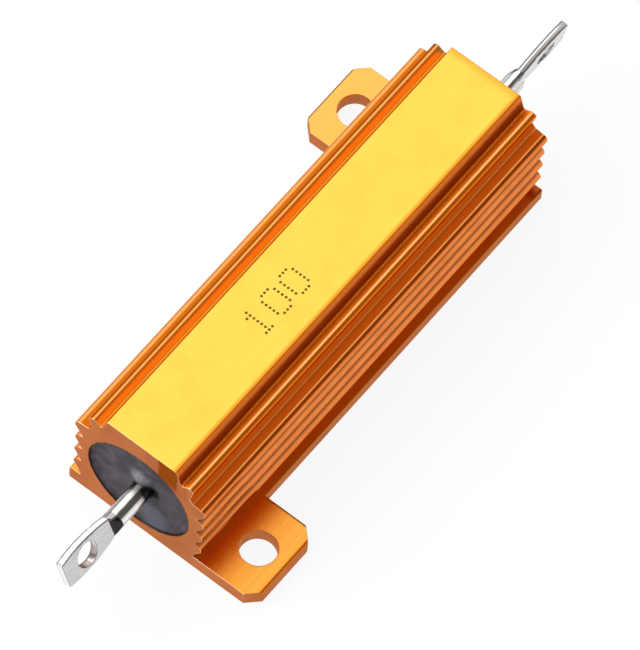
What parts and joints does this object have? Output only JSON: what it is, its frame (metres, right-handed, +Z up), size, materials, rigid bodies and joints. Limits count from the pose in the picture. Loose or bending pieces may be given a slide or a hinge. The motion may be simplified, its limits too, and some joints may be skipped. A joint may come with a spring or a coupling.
{
  "type": "aluminium housed resistor",
  "caption": "Wirewound power resistor in a finned, anodised aluminium housing, with a pierced solder lug at each end and bolt-down feet at opposite corners.",
  "frame": {"origin": "centre of the underside of the housing, on the face that bolts to the heat sink", "axes": "+X along the body towards the terminal_right end, +Z up through the flat top, +Y towards the foot at the +X end"},
  "size_m": [0.0731, 0.0272, 0.015],
  "materials": {
    "anodised_aluminium": "satin gold-orange anodising",
    "filling_compound": "matte dark grey moulding compound",
    "ceramic_rod": "bare fired ceramic",
    "resistance_alloy": "bright drawn alloy",
    "plated_cap": "plated pressed steel",
    "tinned_metal": "bright tin plate"
  },
  "bodies": {
    "root": {"housing": "anodised_aluminium", "encapsulant": "filling_compound", "ceramic_core": "ceramic_rod", "resistance_wire": "resistance_alloy", "end_cap_left": "plated_cap", "end_cap_right": "plated_cap", "terminal_left": "tinned_metal", "terminal_right": "tinned_metal"}
  },
  "joints": []
}
